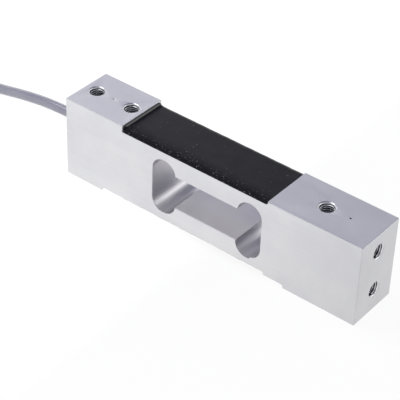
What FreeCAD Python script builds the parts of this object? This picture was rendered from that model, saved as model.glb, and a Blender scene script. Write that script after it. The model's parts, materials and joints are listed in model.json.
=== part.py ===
import FreeCAD, Part
import math
import os
import Sketcher

# Single point load cell: a binocular bending beam with bonded gauges, potting and a bare-ended cable.
# The cable end is at -X and the load end at +X, Y runs across the beam and Z is up.
# The origin is the middle of the beam's footprint, on the plane of its mounting pad.

document = FreeCAD.newDocument("load_cell")
sheet = document.addObject("Spreadsheet::Sheet", "sizes")


class Size:
    # A length and the formula that gives it from the sheet's cells.

    def __init__(self, value, formula):
        self.value = value
        self.formula = formula

    def __add__(self, other):
        return combined(self, "+", other)

    def __radd__(self, other):
        return combined(other, "+", self)

    def __sub__(self, other):
        return combined(self, "-", other)

    def __rsub__(self, other):
        return combined(other, "-", self)

    def __mul__(self, other):
        return combined(self, "*", other)

    def __rmul__(self, other):
        return combined(other, "*", self)

    def __truediv__(self, other):
        return combined(self, "/", other)

    def __neg__(self):
        return combined(0, "-", self)


def as_size(number):
    if isinstance(number, Size):
        return number
    return Size(float(number), repr(float(number)))


def combined(left, sign, right):
    left = as_size(left)
    right = as_size(right)
    results = {
        "+": left.value + right.value,
        "-": left.value - right.value,
        "*": left.value * right.value,
        "/": left.value / right.value if right.value else 0.0,
    }
    return Size(results[sign], f"({left.formula} {sign} {right.formula})")


sheet_rows = []


def cell(alias, value):
    sheet_rows.append(alias)
    row = len(sheet_rows)
    sheet.set(f"A{row}", alias)
    sheet.set(f"B{row}", str(value))
    sheet.setAlias(f"B{row}", alias)
    return Size(float(value), f"sizes.{alias}")


# Beam: one milled block, stepped so that each end has one raised pad.
beam_length = cell("beam_length", 150)
beam_width = cell("beam_width", 25.4)
beam_height = cell("beam_height", 40)
end_step = cell("end_step", 1.5)
recess_depth = cell("recess_depth", 1.5)
mount_pad_length = cell("mount_pad_length", 34.5)
foot_length = cell("foot_length", 19.5)
corner_radius = cell("corner_radius", 1.2)
edge_break = cell("edge_break", 0.25)

# Window: a rectangular opening with a round lobe at each corner, which leaves four thin flexures.
window_length = cell("window_length", 55.8)
window_shift = cell("window_shift", 0.5)
window_opening = cell("window_opening", 15.6)
lobe_radius = cell("lobe_radius", 6)
lobe_spacing = cell("lobe_spacing", 14.4)
trim_radius = cell("trim_radius", 5.8)
trim_drop = cell("trim_drop", 1.05)
trim_shift = cell("trim_shift", 0.4)
trim_reach = cell("trim_reach", 1.6)

# Recess over the flexures, longer on the cable side for the wiring.
wiring_room = cell("wiring_room", 16.45)
recess_margin = cell("recess_margin", 2.25)

# Tapped holes, modelled at the thread's outer diameter.
thread_diameter = cell("thread_diameter", 6)
thread_depth = cell("thread_depth", 11)
sink_diameter = cell("sink_diameter", 7.5)
sink_angle = cell("sink_angle", 90)
drill_angle = cell("drill_angle", 118)
top_hole_inset = cell("top_hole_inset", 6.35)
top_hole_pitch = cell("top_hole_pitch", 19.05)
single_hole_inset = cell("single_hole_inset", 25)
end_hole_pitch = cell("end_hole_pitch", 19.05)
punch_diameter = cell("punch_diameter", 1)
punch_depth = cell("punch_depth", 0.4)
punch_inset = cell("punch_inset", 14)

# Cable entry, wireway and the hole that joins the two recesses.
cable_diameter = cell("cable_diameter", 4.6)
exit_height = cell("exit_height", 21.7)
entry_diameter = cell("entry_diameter", 7.4)
entry_depth = cell("entry_depth", 10)
wireway_diameter = cell("wireway_diameter", 4.4)
wire_hole_diameter = cell("wire_hole_diameter", 6)
wire_hole_inset = cell("wire_hole_inset", 4.2)
seal_length = cell("seal_length", 6.5)

# Potting resin in the recesses.
resin_thickness = cell("resin_thickness", 1.3)
resin_climb = cell("resin_climb", 1.1)
resin_climb_length = cell("resin_climb_length", 2.4)
resin_edge_width = cell("resin_edge_width", 2.2)
resin_edge_height = cell("resin_edge_height", 0.2)
resin_plug_depth = cell("resin_plug_depth", 3)

# Gauges: a carrier film with a folded foil grid.
film_length = cell("film_length", 10)
film_width = cell("film_width", 6.4)
film_thickness = cell("film_thickness", 0.08)
foil_thickness = cell("foil_thickness", 0.05)
grid_length = cell("grid_length", 5)
grid_width = cell("grid_width", 3.5)
strand_count = cell("strand_count", 8)
grid_slot_width = cell("grid_slot_width", 0.2)
turn_length = cell("turn_length", 0.5)
neck_length = cell("neck_length", 0.4)
tab_length = cell("tab_length", 1.6)
tab_width = cell("tab_width", 1.2)

# Terminal boards, one in each recess, and what is soldered to them.
board_length = cell("board_length", 7.5)
board_width = cell("board_width", 18)
board_thickness = cell("board_thickness", 0.5)
board_corner = cell("board_corner", 0.6)
board_gap = cell("board_gap", 1.3)
solder_radius = cell("solder_radius", 0.6)
solder_height = cell("solder_height", 0.55)
solder_top_radius = cell("solder_top_radius", 0.25)
tab_solder_radius = cell("tab_solder_radius", 0.45)
tab_solder_height = cell("tab_solder_height", 0.4)
solder_inset = cell("solder_inset", 0.9)
resistor_length = cell("resistor_length", 3.2)
resistor_width = cell("resistor_width", 1.6)
resistor_height = cell("resistor_height", 0.55)
resistor_corner = cell("resistor_corner", 0.15)
resistor_spread = cell("resistor_spread", 4)
core_diameter = cell("core_diameter", 0.9)
core_pitch = cell("core_pitch", 1)
core_pad_pitch = cell("core_pad_pitch", 2)
core_hole_shift = cell("core_hole_shift", 0.5)
core_end_gap = cell("core_end_gap", 0.3)
core_bend = cell("core_bend", 1.5)
conductor_diameter = cell("conductor_diameter", 0.35)
wire_lift = cell("wire_lift", 0.06)
link_diameter = cell("link_diameter", 0.35)
link_hole_shift = cell("link_hole_shift", -0.3)
link_inner_row = cell("link_inner_row", 2.2)
link_outer_row = cell("link_outer_row", 2.7)
link_bend = cell("link_bend", 1)
jumper_diameter = cell("jumper_diameter", 0.25)
jumper_pad_pitch = cell("jumper_pad_pitch", 3)

# Cable coil and the stripped leads at the cable's far end.
coil_run = cell("coil_run", 76)
coil_inner_radius = cell("coil_inner_radius", 13.8)
coil_pitch = cell("coil_pitch", 4.7)
coil_corner = cell("coil_corner", 1.2)
coil_distance = cell("coil_distance", 64.5)
lead_diameter = cell("lead_diameter", 1)
lead_tip_diameter = cell("lead_tip_diameter", 0.6)
lead_tip_length = cell("lead_tip_length", 6)
lead_rise = cell("lead_rise", 0.6)
lead_inner_side = cell("lead_inner_side", 0.55)
lead_outer_side = cell("lead_outer_side", 1.1)

document.recompute()

# Levels and stations worked out from the cells.
half_length = beam_length / 2
half_width = beam_width / 2
recess_floor = beam_height - end_step - recess_depth
recess_ceiling = end_step + recess_depth
middle_height = beam_height / 2
window_left = window_shift - window_length / 2
window_right = window_shift + window_length / 2
recess_left = window_left - wiring_room
recess_right = window_right + recess_margin
wire_hole_place = recess_left + wire_hole_inset
entry_end = entry_depth - half_length
board_left = wire_hole_place + wire_hole_diameter / 2 + board_gap
board_right = board_left + board_length
flexure_places = {
    "cable": window_left + lobe_radius,
    "load": window_right - lobe_radius,
}


def new_body(label):
    body = document.addObject("PartDesign::Body", label)
    body.Label = label
    return body


def new_sketch(body, name, plane, offset=None):
    sketch = body.newObject("Sketcher::SketchObject", name)
    support = next(item for item in body.Origin.OriginFeatures if item.Role == plane)
    sketch.AttachmentSupport = [(support, "")]
    sketch.MapMode = "FlatFace"
    if offset is not None:
        sketch.setExpression(".AttachmentOffset.Base.z", offset.formula)
    return sketch


def bind(sketch, kind, places, size):
    size = as_size(size)
    index = sketch.addConstraint(Sketcher.Constraint(kind, *places, size.value))
    sketch.setExpression(f"Constraints[{index}]", size.formula)


def fix_point(sketch, edge, end, across, up):
    bind(sketch, "DistanceX", (-1, 1, edge, end), across)
    bind(sketch, "DistanceY", (-1, 1, edge, end), up)


def flat_point(across, up):
    return FreeCAD.Vector(as_size(across).value, as_size(up).value, 0)


def arc_between(start, end, radius, turn):
    # The short arc from start to end, with its centre on the left or the right of the chord.
    chord = end - start
    side = FreeCAD.Vector(-chord.y, chord.x, 0).normalize()
    rise = math.sqrt(max(radius ** 2 - (chord.Length / 2) ** 2, 0.0))
    centre = (start + end) / 2 + side * (rise if turn == "left" else -rise)
    angles = [math.atan2(point.y - centre.y, point.x - centre.x) for point in (start, end)]
    if turn == "right":
        angles.reverse()
    circle = Part.Circle(centre, FreeCAD.Vector(0, 0, 1), radius)
    return Part.ArcOfCircle(circle, angles[0], angles[1])


def outline(sketch, corners):
    # Each corner is (across, up), or (across, up, radius, turn) where an arc leaves it.
    ends = []
    for index, corner in enumerate(corners):
        start = flat_point(*corner[:2])
        finish = flat_point(*corners[(index + 1) % len(corners)][:2])
        if len(corner) == 2:
            edge = sketch.addGeometry(Part.LineSegment(start, finish), False)
            ends.append((edge, 1, 2))
        else:
            radius, turn = corner[2:]
            edge = sketch.addGeometry(arc_between(start, finish, radius.value, turn), False)
            ends.append((edge, 1, 2) if turn == "left" else (edge, 2, 1))
            bind(sketch, "Radius", (edge,), radius)
        fix_point(sketch, edge, ends[-1][1], corner[0], corner[1])
    for index, (edge, first, last) in enumerate(ends):
        following = ends[(index + 1) % len(ends)]
        sketch.addConstraint(Sketcher.Constraint("Coincident", edge, last, following[0], following[1]))


def circles(sketch, centres, diameter):
    for across, up in centres:
        shape = Part.Circle(flat_point(across, up), FreeCAD.Vector(0, 0, 1), diameter.value / 2)
        edge = sketch.addGeometry(shape, False)
        fix_point(sketch, edge, 3, across, up)
        bind(sketch, "Diameter", (edge,), diameter)


def rectangle(sketch, left, right, bottom, top):
    outline(sketch, [(left, bottom), (right, bottom), (right, top), (left, top)])


def padded(body, sketch, name, length, side="One side"):
    pad = body.newObject("PartDesign::Pad", name)
    pad.Profile = sketch
    pad.setExpression("Length", as_size(length).formula)
    pad.SideType = side
    document.recompute()
    return pad


def pocketed(body, sketch, name, depth=None, side="One side", reverse=False):
    pocket = body.newObject("PartDesign::Pocket", name)
    pocket.Profile = sketch
    if depth is None:
        pocket.Type = "ThroughAll"
    else:
        pocket.setExpression("Length", as_size(depth).formula)
    pocket.SideType = side
    pocket.Reversed = reverse
    before = pocket.BaseFeature.Shape.Volume
    document.recompute()
    if pocket.Shape.Volume > before - 1e-6:
        raise RuntimeError(f"{name} cuts nothing")
    return pocket


def side_profile(sketch):
    # Side view, from the foot at the cable end round to the raised top pad.
    foot_end = foot_length - half_length
    mount_start = half_length - mount_pad_length
    radius = corner_radius
    outline(sketch, [
        (-half_length, end_step),
        (foot_end, end_step),
        (foot_end, recess_ceiling - radius, radius, "right"),
        (foot_end + radius, recess_ceiling),
        (recess_right - radius, recess_ceiling, radius, "right"),
        (recess_right, recess_ceiling - radius),
        (recess_right, end_step),
        (mount_start - radius, end_step, radius, "right"),
        (mount_start, end_step - radius),
        (mount_start, 0),
        (half_length, 0),
        (half_length, beam_height - end_step),
        (recess_right, beam_height - end_step),
        (recess_right, recess_floor + radius, radius, "right"),
        (recess_right - radius, recess_floor),
        (recess_left, recess_floor),
        (recess_left, beam_height),
        (-half_length, beam_height),
    ])


def window_profile(sketch):
    # Four lobes, drawn round their centres, joined by the window's walls and its opening.
    half_spacing = lobe_spacing / 2
    half_opening = window_opening / 2
    dip = math.asin((half_opening.value - half_spacing.value) / lobe_radius.value)
    left = window_left + lobe_radius
    right = window_right - lobe_radius
    high = middle_height + half_spacing
    low = middle_height - half_spacing
    lobes = {
        ("left", "top"): (left, high, dip, math.pi),
        ("right", "top"): (right, high, 0, math.pi - dip),
        ("right", "low"): (right, low, math.pi + dip, 2 * math.pi),
        ("left", "low"): (left, low, math.pi, 2 * math.pi - dip),
    }
    wall_ends = {("left", "top"): 2, ("right", "top"): 1, ("right", "low"): 2, ("left", "low"): 1}
    arcs = {}
    for place, (across, up, first, last) in lobes.items():
        circle = Part.Circle(flat_point(across, up), FreeCAD.Vector(0, 0, 1), lobe_radius.value)
        arc = sketch.addGeometry(Part.ArcOfCircle(circle, first, last), False)
        arcs[place] = arc
        fix_point(sketch, arc, 3, across, up)
        bind(sketch, "Radius", (arc,), lobe_radius)
        sign = 1 if place[1] == "top" else -1
        bind(sketch, "DistanceY", (-1, 1, arc, wall_ends[place]), up)
        bind(sketch, "DistanceY", (-1, 1, arc, 3 - wall_ends[place]), middle_height + sign * half_opening)
    joins = [
        (("left", "top"), ("left", "low"), True),
        (("right", "top"), ("right", "low"), True),
        (("left", "top"), ("right", "top"), False),
        (("left", "low"), ("right", "low"), False),
    ]
    for first, second, wall in joins:
        ends = []
        for place in (first, second):
            ends.append((arcs[place], wall_ends[place] if wall else 3 - wall_ends[place]))
        points = [sketch.getPoint(*end) for end in ends]
        line = sketch.addGeometry(Part.LineSegment(points[0], points[1]), False)
        sketch.addConstraint(Sketcher.Constraint("Coincident", line, 1, *ends[0]))
        sketch.addConstraint(Sketcher.Constraint("Coincident", line, 2, *ends[1]))


def trim_profile(sketch):
    # The filed hollow in the lobe under the load end, which stops short of the lobe's outer side.
    across = window_right - lobe_radius - trim_shift
    up = middle_height - lobe_spacing / 2 - trim_drop
    circle = Part.Circle(flat_point(across, up), FreeCAD.Vector(0, 0, 1), trim_radius.value)
    first = math.pi
    last = 2 * math.pi - math.acos(trim_reach.value / trim_radius.value)
    arc = sketch.addGeometry(Part.ArcOfCircle(circle, first, last), False)
    fix_point(sketch, arc, 3, across, up)
    bind(sketch, "Radius", (arc,), trim_radius)
    bind(sketch, "DistanceY", (-1, 1, arc, 1), up)
    bind(sketch, "DistanceX", (-1, 1, arc, 2), across + trim_reach)
    inside = flat_point(across + trim_reach * 2, up)
    rise = sketch.addGeometry(Part.LineSegment(sketch.getPoint(arc, 2), inside), False)
    back = sketch.addGeometry(Part.LineSegment(inside, sketch.getPoint(arc, 1)), False)
    sketch.addConstraint(Sketcher.Constraint("Coincident", rise, 1, arc, 2))
    sketch.addConstraint(Sketcher.Constraint("Coincident", back, 2, arc, 1))
    sketch.addConstraint(Sketcher.Constraint("Coincident", rise, 2, back, 1))
    fix_point(sketch, rise, 2, across + trim_reach * 2, up)


def tapped_holes(body, name, plane, offset, centres):
    sketch = new_sketch(body, f"{name}_sketch", plane, offset)
    circles(sketch, centres, thread_diameter)
    document.recompute()
    before = body.Tip.Shape.Volume
    hole = body.newObject("PartDesign::Hole", name)
    hole.Profile = sketch
    document.recompute()
    hole.DepthType = "Dimension"
    hole.DrillPoint = "Angled"
    hole.HoleCutType = "Countersink"
    hole.setExpression("Diameter", thread_diameter.formula)
    hole.setExpression("Depth", thread_depth.formula)
    hole.setExpression("DrillPointAngle", drill_angle.formula)
    hole.HoleCutCustomValues = True
    hole.setExpression("HoleCutDiameter", sink_diameter.formula)
    hole.setExpression("HoleCutCountersinkAngle", sink_angle.formula)
    document.recompute()
    if hole.Shape.Volume > before - 1e-6:
        raise RuntimeError(f"{name} cuts nothing")


def side_faces(shape):
    # The two flat faces that look along Y at the beam's full width.
    names = []
    for index, face in enumerate(shape.Faces, start=1):
        flat = face.BoundBox.YLength < 1e-6
        outer = abs(abs(face.CenterOfMass.y) - half_width.value) < 1e-6
        if flat and outer:
            names.append(f"Face{index}")
    return names


def end_edges(shape):
    # The straight edges across the width at the beam's two ends.
    names = []
    for index, edge in enumerate(shape.Edges, start=1):
        box = edge.BoundBox
        across = box.XLength < 1e-6 and box.ZLength < 1e-6
        outer = abs(abs(box.XMin) - half_length.value) < 1e-6
        if across and outer:
            names.append(f"Edge{index}")
    return names


def chamfered(body, name, edges):
    base = body.Tip
    chamfer = body.newObject("PartDesign::Chamfer", name)
    chamfer.Base = (base, edges)
    chamfer.setExpression("Size", edge_break.formula)
    document.recompute()
    return chamfer


def beam():
    body = new_body("beam_body")
    profile = new_sketch(body, "side_profile", "XZ_Plane")
    side_profile(profile)
    block = padded(body, profile, "block", beam_width, "Symmetric")
    chamfered(body, "end_edges", end_edges(block.Shape))
    window = new_sketch(body, "window_profile", "XZ_Plane")
    window_profile(window)
    opened = pocketed(body, window, "window", side="Symmetric")
    chamfered(body, "side_edges", side_faces(opened.Shape))
    trim = new_sketch(body, "trim_profile", "XZ_Plane")
    trim_profile(trim)
    pocketed(body, trim, "trim", side="Symmetric")
    cable_end = top_hole_inset - half_length
    tapped_holes(body, "top_pad_holes", "XY_Plane", beam_height,
                 [(cable_end, 0), (cable_end + top_hole_pitch, 0)])
    tapped_holes(body, "single_hole", "XY_Plane", beam_height - end_step,
                 [(half_length - single_hole_inset, 0)])
    tapped_holes(body, "end_face_holes", "YZ_Plane", half_length,
                 [(0, middle_height + end_hole_pitch / 2), (0, middle_height - end_hole_pitch / 2)])
    bored(body, "entry_bore", entry_diameter, entry_depth)
    bored(body, "wireway", wireway_diameter, wire_hole_place + half_length)
    upright = new_sketch(body, "wire_hole_sketch", "XY_Plane")
    circles(upright, [(wire_hole_place, 0)], wire_hole_diameter)
    pocketed(body, upright, "wire_hole", side="Symmetric")
    punched(body, "load_punch", beam_height - end_step, half_length - punch_inset)
    punched(body, "pad_punch", beam_height, cable_end + top_hole_pitch / 2)
    return body


def bored(body, name, diameter, depth):
    # A blind bore along X from the face at the cable end.
    sketch = new_sketch(body, f"{name}_sketch", "YZ_Plane", -half_length)
    circles(sketch, [(0, exit_height)], diameter)
    pocketed(body, sketch, name, depth, reverse=True)


def punched(body, name, level, place):
    # A centre-punch mark: a small cone, turned about an upright line.
    sketch = new_sketch(body, f"{name}_sketch", "XZ_Plane")
    outline(sketch, [
        (place, level - punch_depth),
        (place + punch_diameter / 2, level),
        (place, level),
    ])
    groove = body.newObject("PartDesign::Groove", name)
    groove.Profile = sketch
    groove.ReferenceAxis = (sketch, ["Edge3"])
    groove.Angle = 360
    before = groove.BaseFeature.Shape.Volume
    document.recompute()
    if groove.Shape.Volume > before - 1e-6:
        raise RuntimeError(f"{name} cuts nothing")


def place_body(item, across, up, upside_down=False):
    rotation = FreeCAD.Rotation(FreeCAD.Vector(1, 0, 0), 180 if upside_down else 0)
    item.Placement = FreeCAD.Placement(FreeCAD.Vector(0, 0, 0), rotation)
    item.setExpression(".Placement.Base.x", as_size(across).formula)
    item.setExpression(".Placement.Base.z", as_size(up).formula)


def gauge_film(label, place, level, upside_down):
    body = new_body(label)
    sketch = new_sketch(body, f"{label}_sketch", "XY_Plane")
    rectangle(sketch, -film_length / 2, film_length / 2, -film_width / 2, film_width / 2)
    padded(body, sketch, f"{label}_pad", film_thickness)
    place_body(body, place, level, upside_down)
    return body


def gauge_grid(label, place, level, upside_down):
    # A sheet of foil, slotted from both ends in turn so that one strand folds to and fro.
    body = new_body(label)
    pitch = grid_width / strand_count
    start = grid_length / 2
    foil = new_sketch(body, f"{label}_foil", "XY_Plane")
    tab_inner = grid_width / 2 - tab_width
    neck_inner = grid_width / 2 - pitch + grid_slot_width / 2
    tab_start = -start - neck_length
    tab_end = tab_start - tab_length
    outline(foil, [
        (start, -grid_width / 2),
        (start, grid_width / 2),
        (tab_end, grid_width / 2),
        (tab_end, tab_inner),
        (tab_start, tab_inner),
        (tab_start, neck_inner),
        (-start, neck_inner),
        (-start, -neck_inner),
        (tab_start, -neck_inner),
        (tab_start, -tab_inner),
        (tab_end, -tab_inner),
        (tab_end, -grid_width / 2),
    ])
    padded(body, foil, f"{label}_sheet", foil_thickness)
    gap = grid_slot_width / 2
    slots = {
        "load_side": (-start + turn_length, start, -grid_width / 2 + pitch * 2, strand_count.value // 2 - 1),
        "cable_side": (-start, start - turn_length, -grid_width / 2 + pitch, strand_count.value // 2),
    }
    for side, (left, right, first, copies) in slots.items():
        sketch = new_sketch(body, f"{label}_{side}", "XY_Plane")
        rectangle(sketch, left, right, first - gap, first + gap)
        slot = pocketed(body, sketch, f"{label}_{side}_slot", foil_thickness, reverse=True)
        pattern = body.newObject("PartDesign::LinearPattern", f"{label}_{side}_slots")
        pattern.Originals = [slot]
        pattern.Direction = (sketch, ["V_Axis"])
        pattern.setExpression("Length", (pitch * 2 * (copies - 1)).formula)
        pattern.Occurrences = int(copies)
        body.Tip = pattern
        document.recompute()
    place_body(body, place, level, upside_down)
    return body


def plate(label, left, along, level, length, width, thickness, corner):
    # A flat piece with rounded corners, such as a terminal board or a chip resistor.
    body = new_body(label)
    sketch = new_sketch(body, f"{label}_sketch", "XY_Plane")
    low = along - width / 2
    high = along + width / 2
    outline(sketch, [
        (corner, low),
        (length - corner, low, corner, "left"),
        (length, low + corner),
        (length, high - corner, corner, "left"),
        (length - corner, high),
        (corner, high, corner, "left"),
        (0, high - corner),
        (0, low + corner, corner, "left"),
    ])
    padded(body, sketch, f"{label}_pad", thickness)
    place_body(body, left, level)
    return body


def chip_resistor(label, along, level):
    left = (board_left + board_right - resistor_width) / 2
    return plate(label, left, as_size(along), level, resistor_width, resistor_length, resistor_height,
                 resistor_corner)


def rounded_path(points, largest=None):
    # Straight runs joined by tangent arcs, each as large as its two runs allow.
    vectors = [FreeCAD.Vector(*point) for point in points]
    edges = []
    radii = []
    start = vectors[0]
    for before, corner, after in zip(vectors, vectors[1:], vectors[2:]):
        towards = (before - corner).normalize()
        away = (after - corner).normalize()
        half_turn = (math.pi - towards.getAngle(away)) / 2
        shorter = min((before - corner).Length, (after - corner).Length)
        radius = 0.45 * shorter / math.tan(half_turn)
        if largest is not None:
            radius = min(radius, largest)
        reach = radius * math.tan(half_turn)
        first = corner + towards * reach
        last = corner + away * reach
        bisector = (towards + away).normalize()
        centre = corner + bisector * (radius / math.cos(half_turn))
        middle = centre - bisector * radius
        edges.append(Part.LineSegment(start, first).toShape())
        edges.append(Part.Arc(first, middle, last).toShape())
        radii.append(radius)
        start = last
    edges.append(Part.LineSegment(start, vectors[-1]).toShape())
    return Part.Wire(edges), radii


def tube(points, diameter, largest=None):
    path, radii = rounded_path(points, largest)
    heading = FreeCAD.Vector(*points[1]) - FreeCAD.Vector(*points[0])
    circle = Part.Circle(FreeCAD.Vector(*points[0]), heading, diameter / 2)
    ring = Part.Wire([circle.toShape()])
    solid = path.makePipeShell([ring], True, False)
    expected = math.pi * (diameter / 2) ** 2 * path.Length
    if abs(solid.Volume - expected) > 0.02 * expected:
        raise RuntimeError(f"a tube holds {solid.Volume:.2f} in place of {expected:.2f}")
    return solid, path.Length, radii


def rod(start, end, diameter):
    first = FreeCAD.Vector(*start)
    run = FreeCAD.Vector(*end) - first
    return Part.makeCylinder(diameter / 2, run.Length, first, run)


def feature(label, shape):
    item = document.addObject("Part::Feature", label)
    item.Label = label
    item.Shape = shape
    return item


def grouped(label, items):
    group = document.addObject("Part::Compound", label)
    group.Label = label
    group.Links = items
    return group


def cut_from(label, base, tools):
    cut = document.addObject("Part::Cut", label)
    cut.Label = label
    cut.Base = base
    cut.Tool = grouped(f"{label}_hollows", tools)
    document.recompute()
    return cut


def pad_places(count, pitch, start=0.0):
    # Pad places across the board, in pairs outwards from its middle line.
    half = count // 2
    places = []
    for index in range(half):
        offset = start + (index + 0.5) * pitch
        places = [-offset] + places + [offset]
    return places


core_level = recess_floor + board_thickness + wire_lift + conductor_diameter / 2
link_top = recess_floor + board_thickness + wire_lift + link_diameter / 2
link_low = recess_ceiling - board_thickness - wire_lift - link_diameter / 2
tab_place = grid_length / 2 + neck_length + tab_length / 2
core_rows = pad_places(4, core_pitch.value)
core_pads = pad_places(4, core_pad_pitch.value)
link_pads = pad_places(4, core_pad_pitch.value, 2 * core_pad_pitch.value)
jumper_pads = pad_places(4, jumper_pad_pitch.value)
core_colours = ["red", "black", "green", "white"]


def cable_cores():
    # Insulated cores from the jacket's end, up the wire hole and across to the board's first row.
    items = []
    hole = (wire_hole_place + core_hole_shift).value
    insulation_end = (board_left - core_end_gap).value
    for colour, row, pad in zip(core_colours, core_rows, core_pads):
        corner = FreeCAD.Vector(hole, row, core_level.value)
        joint = FreeCAD.Vector((board_left + solder_inset).value, pad, core_level.value)
        stop = corner + (joint - corner) * ((insulation_end - corner.x) / (joint.x - corner.x))
        points = [(entry_end.value, row, exit_height.value), (hole, row, exit_height.value), corner, stop]
        insulation = tube(points, core_diameter.value, core_bend.value)[0]
        tip = rod(stop, joint, conductor_diameter.value)
        items.append(feature(f"core_{colour}", insulation.fuse(tip)))
    return items


def link_wires():
    # Four wires from the lower board, up the wire hole and across to the upper board.
    wires = []
    hole = (wire_hole_place + link_hole_shift).value
    joint = (board_left + solder_inset).value
    link_rows = [-link_outer_row.value, -link_inner_row.value, link_inner_row.value, link_outer_row.value]
    for pad, row in zip(link_pads, link_rows):
        points = [
            (joint, pad, link_low.value),
            (hole, row, link_low.value),
            (hole, row, link_top.value),
            (joint, pad, link_top.value),
        ]
        wires.append(tube(points, link_diameter.value, link_bend.value)[0])
    return feature("link_wires", Part.makeCompound(wires))


def jumper_wires(label, level, facing):
    # Fine wires from the board's second row to the tabs of both gauges of one flexure pair.
    radius = jumper_diameter.value / 2
    board_face = level.value + facing * (board_thickness.value + 2 * radius)
    tab_face = level.value + facing * (film_thickness.value + foil_thickness.value + radius)
    start = board_right.value - solder_inset.value
    wires = []
    for pad in jumper_pads:
        inner = abs(pad) < jumper_pad_pitch.value
        place = flexure_places["cable" if inner else "load"].value
        tab = place - tab_place.value
        tab_row = math.copysign(grid_width.value / 2 - tab_width.value / 2, pad)
        wires.append(rod((start, pad, board_face), (tab, tab_row, tab_face), 2 * radius))
    return feature(label, Part.makeCompound(wires))


def solder_joints(label, level, facing, wires):
    # Cones of solder on the board's two rows and on the gauge tabs, cast round the wire ends.
    board_face = level + board_thickness * facing
    tab_face = level + (film_thickness + foil_thickness) * facing
    tab_row = grid_width / 2 - tab_width / 2
    rows = link_pads + (core_pads if facing > 0 else [])
    on_board = (board_face, solder_radius, solder_height)
    on_tab = (tab_face, tab_solder_radius, tab_solder_height)
    places = [(board_left + solder_inset, row, *on_board) for row in rows]
    places += [(board_right - solder_inset, row, *on_board) for row in jumper_pads]
    for place in flexure_places.values():
        places += [(place - tab_place, side * tab_row, *on_tab) for side in (1, -1)]
    cones = []
    for index, (across, along, up, radius, height) in enumerate(places):
        cone = document.addObject("Part::Cone", f"{label}_cone_{index}")
        cone.setExpression("Radius1", radius.formula)
        cone.setExpression("Radius2", solder_top_radius.formula)
        cone.setExpression("Height", height.formula)
        place_body(cone, across, up, facing < 0)
        cone.setExpression(".Placement.Base.y", as_size(along).formula)
        cones.append(cone)
    return cut_from(label, grouped(f"{label}_cones", cones), wires)


def resin_blank(label, facing):
    # The resin's side view and its end view, each drawn out and then intersected.
    level = recess_floor if facing > 0 else recess_ceiling
    wall = recess_floor + resin_thickness + resin_climb if facing > 0 else recess_ceiling - resin_thickness
    face = level + resin_thickness * facing
    side = new_body(f"{label}_side_view")
    sketch = new_sketch(side, f"{label}_side_sketch", "XZ_Plane")
    if facing > 0:
        climb_square = resin_climb_length * resin_climb_length + resin_climb * resin_climb
        climb_radius = climb_square / (resin_climb * 2)
        outline(sketch, [
            (recess_left, level),
            (recess_right - corner_radius, level, corner_radius, "left"),
            (recess_right, level + corner_radius),
            (recess_right, face),
            (recess_left + resin_climb_length, face, climb_radius, "right"),
            (recess_left, wall),
        ])
    else:
        outline(sketch, [
            (recess_left, level),
            (recess_left, face),
            (recess_right, face),
            (recess_right, level - corner_radius, corner_radius, "left"),
            (recess_right - corner_radius, level),
        ])
    padded(side, sketch, f"{label}_side_pad", beam_width, "Symmetric")
    end = new_body(f"{label}_end_view")
    section = new_sketch(end, f"{label}_end_sketch", "YZ_Plane")
    rise = resin_thickness - resin_edge_height
    edge_radius = (resin_edge_width * resin_edge_width + rise * rise) / (rise * 2)
    shoulder = level + resin_edge_height * facing
    crown = half_width - resin_edge_width
    if facing > 0:
        outline(section, [
            (-half_width, level),
            (half_width, level),
            (half_width, shoulder, edge_radius, "left"),
            (crown, face),
            (crown, wall),
            (-crown, wall),
            (-crown, face, edge_radius, "left"),
            (-half_width, shoulder),
        ])
    else:
        outline(section, [
            (half_width, level),
            (-half_width, level),
            (-half_width, shoulder, edge_radius, "left"),
            (-crown, face),
            (crown, face, edge_radius, "left"),
            (half_width, shoulder),
        ])
    padded(end, section, f"{label}_end_pad", beam_length, "Symmetric")
    common = document.addObject("Part::Common", f"{label}_blank")
    common.Base = side
    common.Tool = end
    plug = document.addObject("Part::Cylinder", f"{label}_plug")
    plug.setExpression("Radius", (wire_hole_diameter / 2).formula)
    plug.setExpression("Height", resin_plug_depth.formula)
    plug.setExpression(".Placement.Base.x", wire_hole_place.formula)
    foot = level - resin_plug_depth if facing > 0 else level
    plug.setExpression(".Placement.Base.z", foot.formula)
    joined = document.addObject("Part::Fuse", f"{label}_with_plug")
    joined.Base = common
    joined.Tool = plug
    document.recompute()
    return joined


def ring(label, outer, inner, start, length):
    # A plain bush round the cable inside the entry bore.
    body = new_body(label)
    sketch = new_sketch(body, f"{label}_sketch", "YZ_Plane", start)
    circles(sketch, [(0, exit_height)], outer)
    circles(sketch, [(0, exit_height)], inner)
    padded(body, sketch, f"{label}_pad", length)
    return body


def jacket_end():
    body = new_body("cable_jacket_end")
    sketch = new_sketch(body, "jacket_sketch", "YZ_Plane", -half_length)
    circles(sketch, [(0, exit_height)], cable_diameter)
    padded(body, sketch, "jacket_pad", entry_depth)
    return body


# The cable's way from the beam to its coil, as distances from the beam's end and heights.
cable_steps = [(0, exit_height.value), (17, exit_height.value), (35.5, 19.2), (53, 15.2), (68, 13.2)]
cable_route = [(-half_length.value - out, 0, up) for out, up in cable_steps]
coil_reach = (coil_inner_radius + coil_pitch + cable_diameter / 2).value
coil_centre = (-(half_length + coil_distance + coil_run / 2).value - coil_reach, half_width.value - coil_reach)

# The cable's end inside the coil, along and across from where it leaves the far fold.
tail_steps = [(0, 0), (12, 0), (32, 9.8), (42, 9.8)]

# The leads' points on the floor, along and across from the cable's end.
lead_paths = {
    "red": [(17, 4), (30.5, 7.6)],
    "black": [(16, 1.9), (32, 3.6)],
    "green": [(18, 0.2), (31.5, 0)],
    "white": [(15.5, -1.4), (31, -2.8)],
}
lead_straight = 9
entry_straight = 9
entry_landing = 8


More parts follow.
